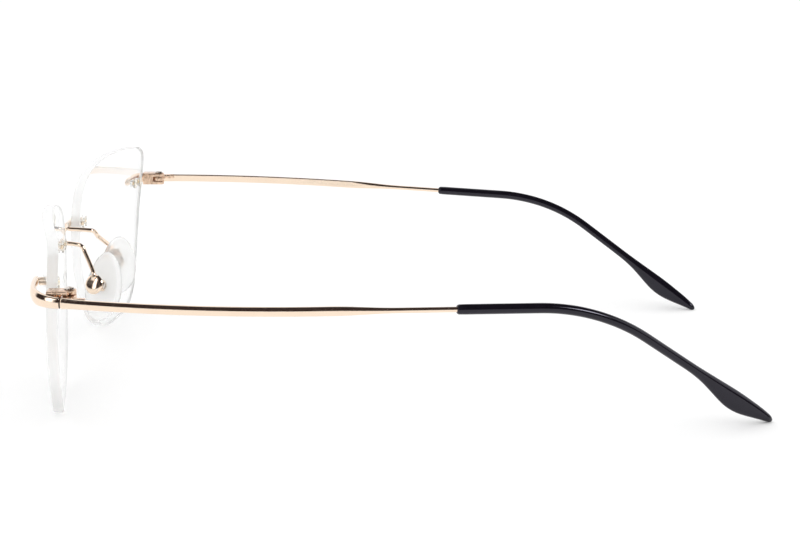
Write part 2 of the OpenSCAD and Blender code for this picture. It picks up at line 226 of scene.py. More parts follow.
def make_floor():
    """A pale matt board, much larger than the view, just below the glasses."""
    mesh = bpy.data.meshes.new("floor")
    corners = [(x * FLOOR_HALF, y * FLOOR_HALF, -FLOOR_DROP) for x, y in ((-1, -1), (1, -1), (1, 1), (-1, 1))]
    mesh.from_pydata(corners, [], [(0, 1, 2, 3)])
    floor = bpy.data.objects.new("floor", mesh)
    bpy.context.scene.collection.objects.link(floor)
    material = bpy.data.materials.new("white board")
    material.use_nodes = True
    tree = material.node_tree
    shader = tree.nodes["Principled BSDF"]
    where = add(tree, "ShaderNodeTexCoord")
    grain = add(tree, "ShaderNodeTexNoise", {"Vector": where.outputs["Object"], "Scale": 300.0})
    tone = add(tree, "ShaderNodeMapRange", {"Value": grain.outputs[0], "To Min": 0.955, "To Max": 0.965})
    colour = add(tree, "ShaderNodeCombineColor", {i: tone.outputs[0] for i in range(3)})
    tree.links.new(colour.outputs[0], shader.inputs["Base Color"])
    shader.inputs["Roughness"].default_value = 0.9
    shader.inputs["Specular IOR Level"].default_value = 0.1
    mesh.materials.append(material)


# ---------------------------------------------------------------- materials

def new_material(name, **values):
    """A Principled material, with its constants set on the shader, and the tree to add detail to."""
    material = bpy.data.materials.new(name)
    material.use_nodes = True
    shader = material.node_tree.nodes["Principled BSDF"]
    for key, value in values.items():
        shader.inputs[key.replace("_", " ")].default_value = value
    return material, material.node_tree, shader


def noise(tree, scale, detail=3.0, stretch=(1, 1, 1)):
    """Noise over the object, with its features drawn out along an axis by a small stretch value."""
    where = add(tree, "ShaderNodeTexCoord")
    shaped = add(tree, "ShaderNodeMapping", {"Vector": where.outputs["Object"], "Scale": stretch})
    return add(tree, "ShaderNodeTexNoise",
               {"Vector": shaped.outputs[0], "Scale": scale, "Detail": detail}).outputs[0]


def vary(tree, shader, socket, source, low, high, start=0.3, end=0.7):
    """Drives a socket between two values by a noise."""
    span = add(tree, "ShaderNodeMapRange",
               {"Value": source, "From Min": start, "From Max": end, "To Min": low, "To Max": high})
    tree.links.new(span.outputs[0], shader.inputs[socket])


def tint(tree, shader, source, first, second, start=0.3, end=0.7):
    """Mixes two base colours by a noise."""
    ramp = add(tree, "ShaderNodeValToRGB", {0: source})
    ramp.color_ramp.elements[0].position = start
    ramp.color_ramp.elements[0].color = (*first, 1)
    ramp.color_ramp.elements[1].position = end
    ramp.color_ramp.elements[1].color = (*second, 1)
    tree.links.new(ramp.outputs[0], shader.inputs["Base Color"])


def bump(tree, shader, source, strength, depth):
    """Raises the surface a little by a noise."""
    node = add(tree, "ShaderNodeBump", {"Height": source, "Strength": strength, "Distance": depth})
    tree.links.new(node.outputs[0], shader.inputs["Normal"])


def rose_gold():
    """Polished rose-gold plating: faint cloudiness, fine handling marks along the temple."""
    material, tree, shader = new_material("rose_gold", Metallic=1.0)
    cloud = noise(tree, 260.0)
    marks = noise(tree, 3200.0, 4.0, (1, 0.08, 1))
    tint(tree, shader, cloud, (0.905, 0.735, 0.585), (0.93, 0.765, 0.612))
    vary(tree, shader, "Roughness", marks, 0.07, 0.15)
    bump(tree, shader, marks, 0.06, 0.00002)
    return material


def pin_gold():
    """The satin pins inside the clear sleeves."""
    material, tree, shader = new_material("pin_gold", Metallic=0.85)
    cloud = noise(tree, 1800.0)
    tint(tree, shader, cloud, (0.95, 0.78, 0.62), (0.98, 0.84, 0.7))
    vary(tree, shader, "Roughness", cloud, 0.34, 0.46)
    return material


def hinge_gold_shaded():
    """The same plating inside the hinge, duller and mottled darker: painted shade for the gaps between the
    leaves.
    """
    material, tree, shader = new_material("hinge_gold_shaded", Metallic=1.0)
    painted_shade_noise = noise(tree, 1500.0, 4.0)
    # painted shade: the darker browns stand in for the shade inside the hinge
    tint(tree, shader, painted_shade_noise, (0.5, 0.35, 0.25), (0.86, 0.63, 0.47), 0.25, 0.6)
    vary(tree, shader, "Roughness", painted_shade_noise, 0.3, 0.18)
    bump(tree, shader, painted_shade_noise, 0.08, 0.00002)
    return material


def seam_painted_shade():
    """The end faces at the seam, near black: painted shade for the gap between endpiece and temple."""
    material, tree, shader = new_material("seam_painted_shade", Metallic=0.6)
    painted_shade_noise = noise(tree, 4000.0, 4.0)
    # painted shade: the near-black browns stand in for the shade in the seam's gap
    tint(tree, shader, painted_shade_noise, (0.03, 0.018, 0.013), (0.12, 0.075, 0.055))
    vary(tree, shader, "Roughness", painted_shade_noise, 0.4, 0.6)
    return material


def screw_steel():
    """Bright screw steel, turned, with a slight grain."""
    material, tree, shader = new_material("screw_steel", Metallic=1.0)
    grain = noise(tree, 5200.0, 4.0, (1, 1, 0.2))
    tint(tree, shader, grain, (0.62, 0.56, 0.5), (0.78, 0.72, 0.66))
    vary(tree, shader, "Roughness", grain, 0.16, 0.3)
    bump(tree, shader, grain, 0.1, 0.00002)
    return material


def lens_clear():
    """Clear polished lens with the least trace of handling."""
    material, tree, shader = new_material("lens_clear", IOR=1.5, Transmission_Weight=1.0)
    haze = noise(tree, 120.0, 5.0)
    tint(tree, shader, haze, (0.952, 0.955, 0.955), (0.962, 0.964, 0.964))
    vary(tree, shader, "Roughness", haze, 0.0, 0.012)
    return material


def lens_edge():
    """The ground, slightly frosted rim of a lens, with faint lines along it."""
    material, tree, shader = new_material("lens_edge", IOR=1.5, Transmission_Weight=0.55)
    grind = noise(tree, 2600.0, 3.0, (0.05, 1, 0.05))
    tint(tree, shader, grind, (0.94, 0.94, 0.935), (0.985, 0.985, 0.98))
    vary(tree, shader, "Roughness", grind, 0.14, 0.26)
    bump(tree, shader, grind, 0.04, 0.00002)
    return material


def sleeve_clear():
    """Clear nylon, a little yellow."""
    material, tree, shader = new_material("sleeve_clear", IOR=1.3, Transmission_Weight=1.0)
    cloud = noise(tree, 900.0)
    tint(tree, shader, cloud, (0.99, 0.96, 0.87), (1.0, 0.98, 0.92))
    vary(tree, shader, "Roughness", cloud, 0.06, 0.16)
    return material


def tip_black():
    """Glossy black moulded tip; the cold blue-violet tint of its reflections is a painted sheen."""
    # painted reflection: the specular tint colours every reflection on the tip blue-violet
    material, tree, shader = new_material("tip_black", IOR=1.46, Specular_Tint=(0.9, 0.88, 1.0, 1))
    cloud = noise(tree, 420.0)
    grain = noise(tree, 2600.0, 4.0)
    tint(tree, shader, cloud, (0.0045, 0.0038, 0.0065), (0.0075, 0.0062, 0.0105))
    vary(tree, shader, "Roughness", grain, 0.06, 0.12)
    bump(tree, shader, grain, 0.05, 0.00003)
    return material


def pad_silicone():
    """Clear soft silicone: glossy, faintly milky."""
    material, tree, shader = new_material("pad_silicone", IOR=1.2, Transmission_Weight=0.7)
    cloud = noise(tree, 500.0)
    skin = noise(tree, 2200.0)
    tint(tree, shader, cloud, (0.985, 0.985, 0.98), (0.997, 0.997, 0.992))
    vary(tree, shader, "Roughness", skin, 0.08, 0.14)
    bump(tree, shader, skin, 0.05, 0.00002)
    return material


def core_clear():
    """The drilled tab of the stiff insert: moulded polycarbonate, slightly frosted."""
    material, tree, shader = new_material("core_clear", IOR=1.5, Transmission_Weight=1.0)
    grain = noise(tree, 3000.0)
    tint(tree, shader, grain, (0.93, 0.93, 0.92), (0.98, 0.98, 0.97))
    vary(tree, shader, "Roughness", grain, 0.1, 0.25)
    return material


def core_embedded():
    """The insert's plate, bedded in the silicone, which is nearly as dense as it is."""
    material, tree, shader = new_material("core_embedded", IOR=1.03, Transmission_Weight=1.0)
    grain = noise(tree, 2500.0)
    tint(tree, shader, grain, (0.95, 0.95, 0.945), (0.985, 0.985, 0.98))
    vary(tree, shader, "Roughness", grain, 0.08, 0.2)
    return material


# ---------------------------------------------------------------- geometry nodes

HALVES = ("outer_half", "inner_half", "upper_half", "lower_half", "flatness")


SWEPT_INPUTS = (("Stations", "Geometry"), ("Points around", "Int"), ("Copies", "Int"), ("Pitch", "Float"),
                ("Material", "Material"))


def tube(tree, start):
    """A tube along the stations, whose points keep their share of the turn round it."""
    rail = add(tree, "GeometryNodeMeshToCurve", {"Mesh": start["Stations"]}).outputs[0]
    hoop = add(tree, "GeometryNodeCurvePrimitiveCircle", {"Resolution": start["Points around"]}).outputs[0]
    share = add(tree, "GeometryNodeSplineParameter").outputs["Factor"]
    kept = {"Geometry": hoop, "Name": "turn", "Value": share}
    hoop = add(tree, "GeometryNodeStoreNamedAttribute", kept, data_type="FLOAT", domain="POINT").outputs[0]
    return add(tree, "GeometryNodeCurveToMesh",
               {"Curve": rail, "Profile Curve": hoop, "Fill Caps": True}).outputs[0]


def point_place(tree):
    """The place of a tube's point, from its station's centre, directions and half sizes."""
    maths = maths_in(tree)

    def named(name, kind="FLOAT"):
        node = add(tree, "GeometryNodeInputNamedAttribute", {"Name": name}, data_type=kind)
        return node.outputs["Attribute"]

    def scaled(name, amount):
        ins = {0: named(name, "FLOAT_VECTOR"), "Scale": amount}
        return add(tree, "ShaderNodeVectorMath", ins, operation="SCALE").outputs["Vector"]

    def total(a, b):
        return add(tree, "ShaderNodeVectorMath", {0: a, 1: b}, operation="ADD").outputs["Vector"]

    angle = maths("MULTIPLY", named("turn"), 2 * math.pi)
    across, along = maths("COSINE", angle), maths("SINE", angle)
    outward = maths("MULTIPLY", maths("MAXIMUM", across, 0.0), named("outer_half"))
    inward = maths("POWER", maths("MAXIMUM", maths("MULTIPLY", across, -1.0), 0.0), named("flatness"))
    inward = maths("MULTIPLY", inward, named("inner_half"))
    upward = maths("MULTIPLY", maths("MAXIMUM", along, 0.0), named("upper_half"))
    downward = maths("MULTIPLY", maths("MINIMUM", along, 0.0), named("lower_half"))
    side = scaled("out", maths("SUBTRACT", outward, inward))
    rise = scaled("up", maths("ADD", upward, downward))
    return total(total(named("centre", "FLOAT_VECTOR"), side), rise)


def side_by_side(tree, start, bar):
    """Copies of the bar in a row along x, centred on it, as real geometry."""
    maths = maths_in(tree)
    step = add(tree, "ShaderNodeCombineXYZ", {"X": start["Pitch"]}).outputs[0]
    last = maths("SUBTRACT", start["Copies"], 1.0)
    half_back = maths("MULTIPLY", maths("MULTIPLY", start["Pitch"], -0.5), last)
    first = add(tree, "ShaderNodeCombineXYZ", {"X": half_back}).outputs[0]
    row = add(tree, "GeometryNodeMeshLine",
              {"Count": start["Copies"], "Start Location": first, "Offset": step}).outputs[0]
    copies = add(tree, "GeometryNodeInstanceOnPoints", {"Points": row, "Instance": bar}).outputs[0]
    return add(tree, "GeometryNodeRealizeInstances", {"Geometry": copies}).outputs[0]


def swept_tree():
    """Turns a line of stations into a closed bar and sets one or more copies of it side by side."""
    tree = bpy.data.node_groups.new("swept bar", "GeometryNodeTree")
    for name, kind in SWEPT_INPUTS:
        tree.interface.new_socket(name, in_out="INPUT", socket_type=f"NodeSocket{kind}")
    tree.interface.new_socket("Bar", in_out="OUTPUT", socket_type="NodeSocketGeometry")
    start = add(tree, "NodeGroupInput").outputs
    bar = add(tree, "GeometryNodeSetPosition", {"Geometry": tube(tree, start), "Position": point_place(tree)})
    row = side_by_side(tree, start, bar.outputs[0])
    done = add(tree, "GeometryNodeSetMaterial", {"Geometry": row, "Material": start["Material"]}).outputs[0]
    add(tree, "NodeGroupOutput", {0: done})
    return tree


def swept(stations, around=32, copies=1, pitch=0.0, closed=False):
    """A bar through its stations, in millimetres.

    A station is (centre, out, up, outer half, inner half, upper half, lower half, flatness).
    """
    count = len(stations)
    line = bpy.data.meshes.new("stations")
    edges = [(i, i + 1) for i in range(count - 1)] + ([(count - 1, 0)] if closed else [])
    line.from_pydata([tuple(s[0]) for s in stations], edges, [])
    for k, name in enumerate(("centre", "out", "up")):
        layer = line.attributes.new(name, "FLOAT_VECTOR", "POINT")
        layer.data.foreach_set("vector", [c for s in stations for c in s[k]])
    for k, name in enumerate(HALVES):
        layer = line.attributes.new(name, "FLOAT", "POINT")
        layer.data.foreach_set("value", [s[3 + k] for s in stations])
    holder = bpy.data.objects.new("stations", line)
    bpy.context.scene.collection.objects.link(holder)
    modifier = holder.modifiers.new("bar", "NODES")
    modifier.node_group = SWEPT
    values = {"Points around": around, "Copies": copies, "Pitch": pitch}
    for socket in SWEPT.interface.items_tree:
        if socket.in_out == "INPUT" and socket.name in values:
            modifier[socket.identifier] = values[socket.name]
    graph = bpy.context.evaluated_depsgraph_get()
    mesh = bpy.data.meshes.new_from_object(holder.evaluated_get(graph))
    bpy.data.objects.remove(holder)
    tidy_mesh(mesh)
    return mesh


# ---------------------------------------------------------------- mesh helpers

def tidy_mesh(mesh):
    """Closes the poles and turns every face outwards."""
    shape = bmesh.new()
    shape.from_mesh(mesh)
    bmesh.ops.remove_doubles(shape, verts=shape.verts, dist=MERGE_GAP)
    bmesh.ops.recalc_face_normals(shape, faces=shape.faces)
    if shape.calc_volume(signed=True) < 0:
        bmesh.ops.reverse_faces(shape, faces=shape.faces)
    shape.to_mesh(mesh)
    shape.free()
    for name in ("centre", "out", "up", "turn", *HALVES):
        if name in mesh.attributes:
            mesh.attributes.remove(mesh.attributes[name])


def mesh_from(verts, faces):
    """A closed mesh that faces outwards."""
    mesh = bpy.data.meshes.new("shape")
    mesh.from_pydata([tuple(v) for v in verts], [], faces)
    tidy_mesh(mesh)
    return mesh


def joined(meshes):
    """One mesh from several, as separate closed shells."""
    shape = bmesh.new()
    for mesh in meshes:
        shape.from_mesh(mesh)
    result = bpy.data.meshes.new("shape")
    shape.to_mesh(result)
    shape.free()
    return result


def placed(mesh, matrix):
    """The mesh moved into its place, still facing outwards."""
    mesh.transform(matrix)
    if matrix.determinant() < 0:
        mesh.flip_normals()
    return mesh


def with_modifier(mesh, kind, **settings):
    """The mesh after one modifier."""
    holder = bpy.data.objects.new("holder", mesh)
    bpy.context.scene.collection.objects.link(holder)
    modifier = holder.modifiers.new("step", kind)
    for key, value in settings.items():
        setattr(modifier, key, value)
    graph = bpy.context.evaluated_depsgraph_get()
    result = bpy.data.meshes.new_from_object(holder.evaluated_get(graph))
    bpy.data.objects.remove(holder)
    return result


def combined(mesh, other, operation):
    """Exact union, difference or intersection of two meshes."""
    tool = bpy.data.objects.new("tool", other)
    bpy.context.scene.collection.objects.link(tool)
    result = with_modifier(mesh, "BOOLEAN", operation=operation, solver="EXACT", object=tool)
    bpy.data.objects.remove(tool)
    return result


def bevelled(mesh, width):
    """The mesh with its sharp edges rounded by a width."""
    return with_modifier(mesh, "BEVEL", width=width, segments=3, limit_method="ANGLE",
                         angle_limit=math.radians(40))


def prism(outline, low, high):
    """An outline in x and y, drawn up from one height to another."""
    n = len(outline)
    verts = [(x, y, low) for x, y in outline] + [(x, y, high) for x, y in outline]
    faces = [tuple(reversed(range(n))), tuple(range(n, 2 * n))]
    faces += [(i, (i + 1) % n, n + (i + 1) % n, n + i) for i in range(n)]
    return mesh_from(verts, faces)


def block(low, high):
    """A box between two opposite corners."""
    (x, y, z), (u, v, w) = low, high
    return prism([(x, y), (u, y), (u, v), (x, v)], z, w)


def circle(radius, centre=(0, 0), start=0.0, end=360.0, n=48):
    """Points of an arc; a full circle leaves out its last point."""
    steps = n if end - start >= 360 else n + 1
    angles = [math.radians(start + (end - start) * i / n) for i in range(steps)]
    return [(centre[0] + radius * math.cos(a), centre[1] + radius * math.sin(a)) for a in angles]


def disc(radius, low, high, n=32):
    """A round plug about z."""
    return prism(circle(radius, n=n), low, high)


def eased(points, radius, steps=3, closed=False):
    """A polyline with its corners rounded off."""
    n = len(points)
    result = []
    for i, point in enumerate(points):
        here = Vector(point)
        if not closed and i in (0, n - 1):
            result.append(tuple(here))
            continue
        before, after = Vector(points[i - 1]), Vector(points[(i + 1) % n])
        cut = min(radius, (before - here).length * 0.45, (after - here).length * 0.45)
        a = here + (before - here).normalized() * cut
        b = here + (after - here).normalized() * cut
        for k in range(steps + 1):
            t = k / steps
            result.append(tuple(a * (1 - t) ** 2 + here * 2 * t * (1 - t) + b * t * t))
    return result


def turned(profile, around=40, copies=1, pitch=0.0, closed=False):
    """A turned piece about z, from (radius, height) pairs, and its copies along x."""
    out, up = (1, 0, 0), (0, 1, 0)
    stations = [((0, 0, z), out, up, r, r, r, r, 1.0) for r, z in profile]
    return swept(stations, around, copies, pitch, closed)


def lookup(x, table):
    """Straight-line interpolation in a table of (x, value) pairs."""
    if x <= table[0][0]:
        return table[0][1]
    for (a, p), (b, q) in zip(table, table[1:]):
        if x <= b:
            return p + (q - p) * (x - a) / (b - a)
    return table[-1][1]


def smooth_lookup(x, table, reach=1.2, n=6):
    """The table's value, averaged over a short reach so that its corners run out smoothly."""
    return sum(lookup(x + reach * (2 * k / n - 1), table) for k in range(n + 1)) / (n + 1)


def frame_of(ahead):
    """The outward and upward directions of a bar that runs ahead."""
    out = ahead.cross(Vector((0, 0, 1))).normalized()
    return out, out.cross(ahead).normalized()


# ---------------------------------------------------------------- places

def turn(axis, degrees):
    return Matrix.Rotation(math.radians(degrees), 4, axis)


LENS_POSE = Matrix.Translation(LENS_C) @ turn("Z", LENS_WRAP) @ turn("X", 90 + LENS_TILT)


def on_lens(hole):
    """The place of a fixing: its z axis is the normal of the lens's front surface."""
    u, v = (math.degrees(math.asin(c / LENS_R)) for c in hole)
    centre = Matrix.Translation((0, 0, -LENS_R))
    return LENS_POSE @ centre @ turn("Y", u) @ turn("X", -v) @ centre.inverted()


def lens_point(u, v, z):
    """A point in front of the lens, by a height above its surface."""
    return on_lens((u, v)) @ Vector((0, 0, z))


def at_pad():
    """The place of a pad: x towards the nose, y back along the screw, z up."""
    mirror = Matrix.Diagonal((-1, 1, 1, 1))
    return Matrix.Translation(PAD_C) @ turn("Z", -PAD_SPLAY) @ turn("Y", -PAD_FLARE) @ mirror


ALONG_X = turn("Y", 90)
ALONG_Y = turn("X", 90)


# ---------------------------------------------------------------- finished pieces

def part_shading(mesh):
    """Keeps the smooth shading of two materials apart along the line where they meet."""
    owner, seams = {}, set()
    for face in mesh.polygons:
        for key in face.edge_keys:
            if owner.setdefault(key, face.material_index) != face.material_index:
                seams.add(key)
    for edge in mesh.edges:
        if edge.key in seams:
            edge.use_edge_sharp = True


def finish_piece(name, side, mesh, material, body, sharp=SHARP_ROUND):
    """Puts a mesh into the scene in metres, on its own side, and ties it to its body and node."""
    node = f"{name}_{side}" if side else name
    mesh = mesh.copy()
    mesh.transform(Matrix.Scale(MM, 4))
    if side == "right":
        placed(mesh, Matrix.Diagonal((-1, 1, 1, 1)))
    marks = [face.material_index for face in mesh.polygons]
    mesh.materials.clear()
    for entry in material if isinstance(material, list) else [material]:
        mesh.materials.append(entry)
    mesh.polygons.foreach_set("material_index", marks)
    mesh.shade_smooth()
    mesh.set_sharp_from_angle(angle=math.radians(sharp))
    part_shading(mesh)
    mesh.name = f"{node}_shape"
    piece = bpy.data.objects.new(f"{node}_piece", mesh)
    bpy.context.scene.collection.objects.link(piece)
    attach(piece, body)
    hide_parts(node)
    return piece


def everywhere(centre):
    return True


def at_seam(centre):
    """Whether a face lies on one of the two flat ends that meet at the seam."""
    return abs((centre - SEAM).dot(temple_ahead(0))) < 0.1 and centre.y > SEAM.y - 1


def mark(mesh, index, chosen=everywhere):
    """Gives one of the piece's further materials to the faces whose centres are chosen."""
    for face in mesh.polygons:
        if chosen(face.center):
            face.material_index = index
    return mesh


def both_sides(name, mesh, material, body, sharp=SHARP_ROUND):
    """The left-hand piece and its mirror image. A * in the body's name stands for the side."""
    return [finish_piece(name, side, mesh, material, body.replace("*", side), sharp)
            for side in SIDES]


# ---------------------------------------------------------------- lens

def between(a, b, c, d, t):
    """A smooth curve from b to c, given the knots before and after them."""
    return 0.5 * (2 * b + (c - a) * t + (2 * a - 5 * b + 4 * c - d) * t * t
                  + (3 * b - a - 3 * c + d) * t ** 3)


def knot_curve(knots, n):
    """A closed smooth curve through the knots."""
    m = len(knots)
    points = []
    for i in range(m):
        a, b, c, d = (Vector(knots[(i + k) % m]) for k in (-1, 0, 1, 2))
        for k in range(n):
            t = k / n
            points.append(between(a, b, c, d, t))
    return points


def inset(loop, depth):
    """A loop moved inwards by a depth. The loop runs anticlockwise."""
    n = len(loop)
    result = []
    for i, p in enumerate(loop):
        ahead = (loop[(i + 1) % n] - loop[i - 1]).normalized()
        result.append(p + Vector((-ahead.y, ahead.x)) * depth)
    return result


def sphere_height(x, y, radius):
    """The height of a sphere about the lens's centre, from the middle of the lens's front."""
    return math.sqrt(radius * radius - x * x - y * y) - LENS_R


def on_sphere(p, radius, lift=0.0):
    return Vector((p.x, p.y, sphere_height(p.x, p.y, radius) + lift))


def hole_loop(hole, shift, radius, front_r, n=36):
    """The rim of one drilled hole, on a sphere about the lens's centre, in the lens's own frame."""
    to_lens = LENS_POSE.inverted() @ on_lens(hole)
    loop = []
    for k in range(n):
        a = 2 * math.pi * k / n
        x, y = shift + radius * math.cos(a), radius * math.sin(a)
        loop.append(to_lens @ Vector((x, y, sphere_height(x, y, front_r))))
    return loop


def lens_grid(loops, spacing=1.9):
    """Points inside the outline and clear of every loop."""
    edge = [p for loop in loops for p in loop]
    points = []
    rows = int(LENS_H / spacing) + 2
    columns = int(LENS_W / spacing) + 2
    for j in range(-rows, rows + 1):
        for i in range(-columns, columns + 1):
            p = Vector(((i + 0.5 * (j % 2)) * spacing, j * spacing * 0.87))
            if inside(p, loops[0]) and min((p - q).length for q in edge) > spacing * 0.45:
                points.append(p)
    return points


def inside(p, loop):
    """Whether a point lies inside a closed loop."""
    odd = False
    for a, b in zip(loop, loop[1:] + loop[:1]):
        if (a.y > p.y) != (b.y > p.y) and p.x < a.x + (b.x - a.x) * (p.y - a.y) / (b.y - a.y):
            odd = not odd
    return odd


def face_triangles(flat, loops):
    """Triangles that fill the first loop except for the others, as numbers into the flat points."""
    edges, start = [], 0
    for loop in loops:
        n = len(loop)
        edges += [(start + i, start + (i + 1) % n) for i in range(n)]
        start += n
    result = delaunay_2d_cdt(flat, edges, [tuple(range(len(loops[0])))], 1, 1e-5)
    points, triangles = result[0], result[2]
    if len(points) != len(flat):
        raise ValueError("the lens's face was divided in a way that lost or added points")
    order = [sources[0] for sources in result[3]]
    kept = []
    for face in triangles:
        centre = sum((points[i] for i in face), Vector((0, 0))) / 3
        if not any(inside(centre, loop) for loop in loops[1:]):
            kept.append(tuple(order[i] for i in face))
    return kept


class Shell:
    """The lens's points and faces. Its two faces are clear, and the walls added to them are ground."""

    def __init__(self, front, back, triangles):
        self.half = len(front)
        self.points = front + back
        self.faces = triangles + [tuple(self.half + i for i in reversed(face)) for face in triangles]
        self.marks = [0] * len(self.faces)

    def ring(self, points):
        """Adds a loop of points and gives their numbers."""
        start = len(self.points)
        self.points.extend(points)
        return list(range(start, len(self.points)))

    def wall(self, border, rings):
        """Bands of faces from a border of the front face, through the rings, to the same one behind."""
        loops = [border, *rings, [self.half + i for i in border]]
        for a, b in zip(loops, loops[1:]):
            for i in range(len(a)):
                j = (i + 1) % len(a)
                self.faces.append((a[i], a[j], b[j], b[i]))
                self.marks.append(1)


def rim_rings(shell, outline):
    """The rings of the lens's edge, rounded in three steps at the front and at the back."""
    rings = []
    for radius, sign in ((FRONT_R, -1), (BACK_R, 1)):
        band = []
        for a in (30, 60, 90):
            c, s = math.cos(math.radians(a)), math.sin(math.radians(a))
            lift = sign * RIM_SOFT * (1 - c)
            band.append([on_sphere(p, radius, lift) for p in inset(outline, RIM_SOFT * (1 - s))])
        rings += [shell.ring(loop) for loop in (band if sign < 0 else reversed(band))]
    return rings


def lens_mesh():
    """Two spherical faces, a rim with rounded arrises and four drilled holes."""
    outline = knot_curve(OUTLINE, 14)
    holes = [(hole, side * PIN_PITCH / 2) for hole in (NASAL_HOLE, OUTER_HOLE) for side in (-1, 1)]
    rims = [hole_loop(hole, shift, HOLE_R + HOLE_CHAMFER, FRONT_R) for hole, shift in holes]
    loops = [inset(outline, RIM_SOFT)] + [[p.xy for p in rim] for rim in rims]
    flat = [p for loop in loops for p in loop] + lens_grid(loops)
    front = [on_sphere(p, FRONT_R) for p in flat]
    back = [on_sphere(p, BACK_R) for p in flat]
    borders, start = [], 0
    for loop in loops:
        borders.append(list(range(start, start + len(loop))))
        start += len(loop)
    for (hole, shift), border in zip(holes, borders[1:]):
        back[border[0]:border[-1] + 1] = hole_loop(hole, shift, HOLE_R + HOLE_CHAMFER, BACK_R)
    shell = Shell(front, back, face_triangles(flat, loops))
    shell.wall(borders[0], rim_rings(shell, outline))
    for (hole, shift), border in zip(holes, borders[1:]):
        top = shell.ring(hole_loop(hole, shift, HOLE_R, FRONT_R - HOLE_CHAMFER))
        low = shell.ring(hole_loop(hole, shift, HOLE_R, BACK_R + HOLE_CHAMFER))
        shell.wall(border, [top, low])
    mesh = bpy.data.meshes.new("shape")
    mesh.from_pydata([tuple(v) for v in shell.points], [], shell.faces)
    mesh.polygons.foreach_set("material_index", shell.marks)
    tidy_mesh(mesh)
    return placed(mesh, LENS_POSE)


# ---------------------------------------------------------------- fixings, bridge and endpiece

def pin_pair(hole, top):
    """Two round-ended pins through the lens, up to a height above its front."""
    low = -LENS_T - 0.3
    profile = [(0.02, low), (0.25, low + 0.02), (0.39, low + 0.09), (PIN_R, low + 0.22), (PIN_R, top),
               (0.02, top)]
    return mark(placed(turned(profile, 28, 2, PIN_PITCH), on_lens(hole)), 1)


def sleeve_pair(hole):
    """Two clear sleeves, each with a rounded flange behind the lens."""
    low = -LENS_T - 0.55
    bore = PIN_R + 0.02
    flange, thick = 1.15, 0.35
    profile = [(bore, 0.0), (bore, low), (flange, low), (flange, low + thick), (SLEEVE_R, low + thick),
               (SLEEVE_R, 0.0)]
    return placed(turned(eased(profile, 0.13, 4, True), 44, 2, PIN_PITCH, True), on_lens(hole))


def bezier(a, b, c, d, t):
    return a * (1 - t) ** 3 + 3 * b * t * (1 - t) ** 2 + 3 * c * t * t * (1 - t) + d * t ** 3


BAR_H = 1.7
BAR_T = 1.0
BAR_CLEAR = 0.1
PLATE_MID = BAR_CLEAR + BAR_T / 2
BRIDGE_END = lens_point(NASAL_HOLE[0] + PIN_PITCH / 2 + 1, NASAL_HOLE[1], PLATE_MID)
BRIDGE_FOOT = lens_point(-LENS_W / 2 - 1.2, NASAL_HOLE[1], PLATE_MID)
BRIDGE_MID = Vector((0, BRIDGE_FOOT.y + 0.9, BRIDGE_FOOT.z + 1.2))


def bridge_mesh():
    """One bent bar on both lenses, with two pins through each."""
    run = BRIDGE_FOOT - BRIDGE_END
    half = [BRIDGE_END + run * (i / 16) for i in range(16)]
    half += [bezier(BRIDGE_FOOT, BRIDGE_FOOT + run * 0.5, BRIDGE_MID + Vector((5, 0, 0)), BRIDGE_MID, i / 26)
             for i in range(27)]
    line = half + [Vector((-p.x, p.y, p.z)) for p in reversed(half[:-1])]
    last = len(line) - 1
    ends = ((0.0, 0.05), (0.06, 0.45), (0.16, 0.72), (0.3, 0.88), (0.5, 0.97), (0.8, 1.0))
    stations = []
    for i, p in enumerate(line):
        out, up = frame_of((line[max(i - 1, 0)] - line[min(i + 1, last)]).normalized())
        stations.append((p, out, up, BAR_T / 2, BAR_T / 2, BAR_H / 2, BAR_H / 2, 0.6))
    step = (line[0] - line[1]).normalized()

    def cap(station, sign):
        """The rounded end of the bar."""
        centre, out, up, *sizes = station
        inwards = Vector((step.x * sign, step.y, step.z)) * -1
        return [(centre + inwards * along, out, up, *(s * share for s in sizes[:4]), sizes[4])
                for along, share in ends]

    first, final = cap(stations[0], 1), cap(stations[-1], -1)
    skip = next(i for i in range(last) if (line[i] - line[0]).length > 0.85)
    whole = first + stations[skip:last + 1 - skip] + final[::-1]
    bar = swept(whole, 36)
    pins = pin_pair(NASAL_HOLE, PLATE_MID)
    twin = placed(pins.copy(), Matrix.Diagonal((-1, 1, 1, 1)))
    return joined([bar, pins, twin])


def temple_ahead(s):
    """The direction of the temple at a length from the seam: it leans in, then falls behind the ear."""
    lean = math.radians(lookup(s, ((0, 12), (46, -12), (96, -12), (110, -20))))
    fall = math.radians(lookup(s, ((86, -1.7), (108, -34.1))))
    return Vector((math.cos(fall) * math.sin(lean), math.cos(fall) * math.cos(lean), math.sin(fall)))


ENDPIECE_T = 1.2
ENDPIECE_MID = 0.5 + ENDPIECE_T / 2
ENDPIECE_START = lens_point(OUTER_HOLE[0] - PIN_PITCH / 2 - 1.1, OUTER_HOLE[1], ENDPIECE_MID)
ENDPIECE_OUT = Vector((math.cos(math.radians(4)), math.sin(math.radians(4)), 0))


def endpiece_at(t):
    """The middle of the endpiece, from 0 at its start to 1 at the seam."""
    ahead = temple_ahead(0)
    return bezier(ENDPIECE_START, ENDPIECE_START + ENDPIECE_OUT * 12, SEAM - ahead * (SEAM_GAP / 2 + 5.5),
                  SEAM - ahead * SEAM_GAP / 2, t)


